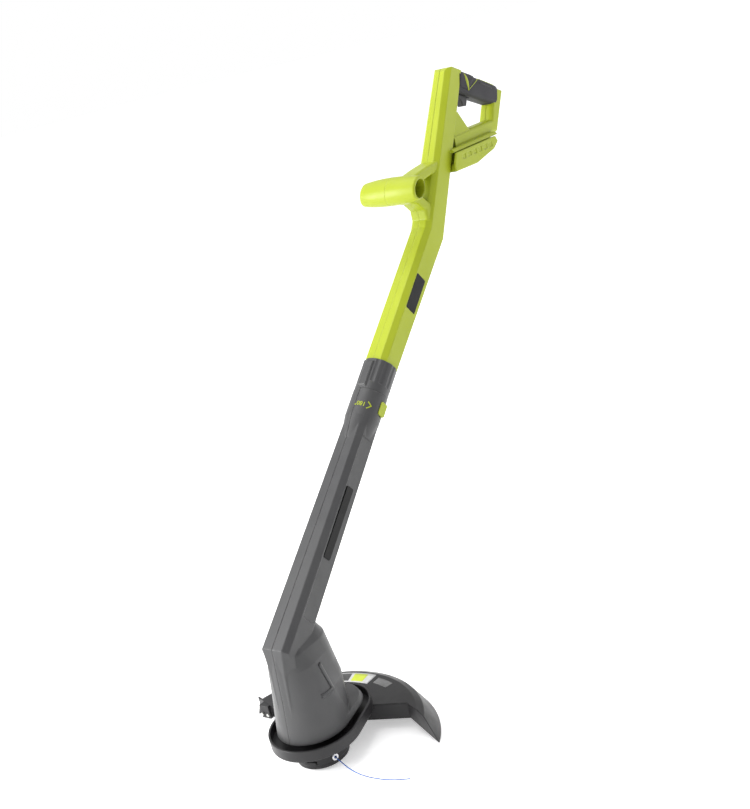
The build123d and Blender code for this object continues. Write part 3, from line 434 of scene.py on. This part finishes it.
def on_rear_grip(side):
    """The surface of the grip: along it, and round it from the middle of one side towards its top."""
    flat = GRIP_HALF_D - GRIP_CORNER
    arc = GRIP_CORNER * pi / 2

    def surface(along_grip, around, lift):
        turn = np.clip((around - flat) / GRIP_CORNER, 0.0, pi / 2)
        over = np.clip(around - flat - arc, 0.0, None)
        across = GRIP_HALF_W - GRIP_CORNER + (GRIP_CORNER + lift) * np.cos(turn) - over
        up = np.clip(around, None, flat) + (GRIP_CORNER + lift) * np.sin(turn)
        across = np.where(turn <= 0, GRIP_HALF_W + lift, across)
        y = GRIP_START[0] + GRIP_AXIS[0] * along_grip + GRIP_NORMAL[0] * up
        z = GRIP_START[1] + GRIP_AXIS[1] * along_grip + GRIP_NORMAL[1] * up
        return np.stack([side * across, y, z], axis=-1)

    return surface


NECK_R = 27.4                 # the collar's radius under the turning mark, in millimetres


def on_swivel_neck(arc, t, lift):
    """The round neck about the swivel axis: arc length from its front towards the left, and place along it."""
    radius = NECK_R + lift
    angle = arc / NECK_R
    spoke = -SHAFT_BACK * np.cos(angle)[..., None] + np.array([1.0, 0.0, 0.0]) * np.sin(angle)[..., None]
    return SHAFT_FOOT + SHAFT_UP * t[..., None] + spoke * radius[..., None]


# Heights, and the two circles whose hull is the motor housing's outline at each.
HOUSING = np.array([
    (58.0, 56.0, -1.0, 41.0, 22.0),
    (118.0, 47.0, -1.0, 38.0, 29.0),
    (166.0, 38.0, -5.0, 34.0, 26.0),
    (188.0, 30.0, -10.0, 31.0, 26.0),
    (208.0, 17.0, -8.0, 22.0, 24.0),
])


def on_housing(side):
    """The flank of the motor housing: the line that touches both circles, by y and height."""
    def surface(y, z, lift):
        front_r, front_y, rear_r, rear_y = (np.interp(z, HOUSING[:, 0], HOUSING[:, k]) for k in (1, 2, 3, 4))
        lean_in = (front_r - rear_r) / (rear_y - front_y)
        slope = np.sqrt(1 - lean_in ** 2)
        flank = (front_r - (y - front_y) * lean_in) / slope
        round_front = np.sqrt(np.clip(front_r ** 2 - (y - front_y) ** 2, 0.0, None))
        x = np.where(y < front_y + front_r * lean_in, round_front, flank)
        return np.stack([side * (x + lift), y, z], axis=-1)

    return surface


def grip_details():
    """The front block over the grip, the coloured crescent and line on each side, and below them a black strip of
    painted shade where a slot is.
    """
    rubber, lime = FINISHES["grip_rubber"], FINISHES["lime_accent"]
    for side, name in ((1, "left"), (-1, "right")):
        surface = on_rear_grip(side)
        around = np.linspace(-10.0, 31.3, 24)
        start = np.stack([np.full(24, 1.0), around], axis=1)
        end = np.stack([np.interp(around, [-10, -2, 8, 24, 31.3], [27, 35, 43, 54, 56]), around], axis=1)
        raised_patch(f"grip_front_block_{name}", start, end, surface, 1.5, rubber, "upper", rows=8)
        t = np.linspace(0.0, 1.0, 18)
        inner = np.stack([15.0 + 13.0 * t ** 1.5, 15.5 - 26.5 * t], axis=1)
        outer = np.stack([16.0 + 13.0 * t ** 1.5 + 7.5 * np.sin(pi * t ** 0.8), 15.0 - 26.0 * t], axis=1)
        raised_patch(f"grip_crescent_{name}", inner, outer, surface, 2.1, lime, "upper", rows=4)
        line = [(30.0, -10.5), (61.0, 15.5), (66.0, 17.5), (112.0, 15.0)]
        raised_bar(f"grip_line_{name}", line, surface, 1.3, 0.45, lime, "upper", step=1.5)
        # The slot is a low black strip: painted shade that stands in for the slot's dark inside.
        raised_bar(f"grip_slot_painted_shade_{name}", [(65.0, 8.5), (104.0, 7.0)], surface, 2.4, 0.30,
                   FINISHES["cable_black"], "upper")


def swivel_marks():
    """The generic turning mark on the neck: an arrow head and the numbers of the half turn."""
    lime = FINISHES["lime_accent"]
    arrow = [(0.735 * NECK_R, 391.0), (0.965 * NECK_R, 385.5), (0.735 * NECK_R, 379.5)]
    raised_bar("swivel_arrow", arrow, on_swivel_neck, 1.9, 0.30, lime, "lower", step=1.0)
    text = bpy.data.curves.new("swivel_numbers", "FONT")
    text.body = "180\u00b0"
    text.size = 9.6
    text.extrude = 0.0
    text.offset = 0.18
    shape = bpy.data.objects.new("swivel_numbers_flat", text)
    bpy.context.scene.collection.objects.link(shape)
    flat = bpy.data.meshes.new_from_object(shape)
    bpy.data.objects.remove(shape)
    cut = bmesh.new()
    cut.from_mesh(flat)
    bmesh.ops.subdivide_edges(cut, edges=cut.edges, cuts=2, use_grid_fill=True)
    bmesh.ops.solidify(cut, geom=cut.faces, thickness=0.3)
    cut.to_mesh(flat)
    cut.free()
    count = len(flat.vertices)
    place = np.zeros(count * 3)
    flat.vertices.foreach_get("co", place)
    place = place.reshape(-1, 3)
    arc = 0.64 * NECK_R - place[:, 0]
    points = on_swivel_neck(arc, 388.6 - place[:, 1], 0.1 + np.abs(place[:, 2])) * MM
    flat.vertices.foreach_set("co", points.reshape(-1))
    flat.update()
    obj = bpy.data.objects.new("swivel_numbers", flat)
    bpy.context.scene.collection.objects.link(obj)
    flat.materials.append(lime)
    face_outwards(obj)
    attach(obj, "lower")


def housing_chevrons():
    """The raised angle on each flank of the motor housing."""
    for side, name in ((1, "left"), (-1, "right")):
        corners = [(6.0, 160.0), (11.0, 117.5), (-13.5, 119.0)]
        raised_bar(f"housing_angle_{name}", corners, on_housing(side), 6.2, 1.7, FINISHES["grey_plastic"], "lower",
                   step=2.5)


PLATE_TOP = 43.0              # height of the guard's flat top, in millimetres


def on_guard_plate(angle, radius, lift):
    """The flat top of the guard, by angle from the left in degrees and distance from the motor axis."""
    turn = np.radians(angle)
    return np.stack([radius * np.cos(turn), radius * np.sin(turn), PLATE_TOP + lift], axis=-1)


def guard_label():
    """A plain sticker on the guard with three blank fields and nothing written on it."""
    fields = (
        ("guard_label_ground", 88.0, 118.0, 122.0, 147.0, 0.18, FINISHES["label_white"]),
        ("guard_label_lime", 93.5, 103.0, 125.0, 144.5, 0.26, FINISHES["label_lime"]),
        ("guard_label_dark", 105.0, 116.0, 125.0, 144.5, 0.26, FINISHES["label_dark"]),
        ("guard_label_grey", 71.5, 84.5, 128.0, 142.0, 0.18, FINISHES["label_grey"]),
    )
    for name, first, last, inner, outer, height, finish in fields:
        angle = np.linspace(first, last, 20)
        low = np.stack([angle, np.full(20, inner)], axis=1)
        high = np.stack([angle, np.full(20, outer)], axis=1)
        raised_patch(name, low, high, on_guard_plate, height, finish, "lower", sink=0.2, rows=4)


# ---- making ----
set_camera()
free_line()
set_world()
set_stage()
finish_cad_nodes()
grip_details()
swivel_marks()
housing_chevrons()
guard_label()
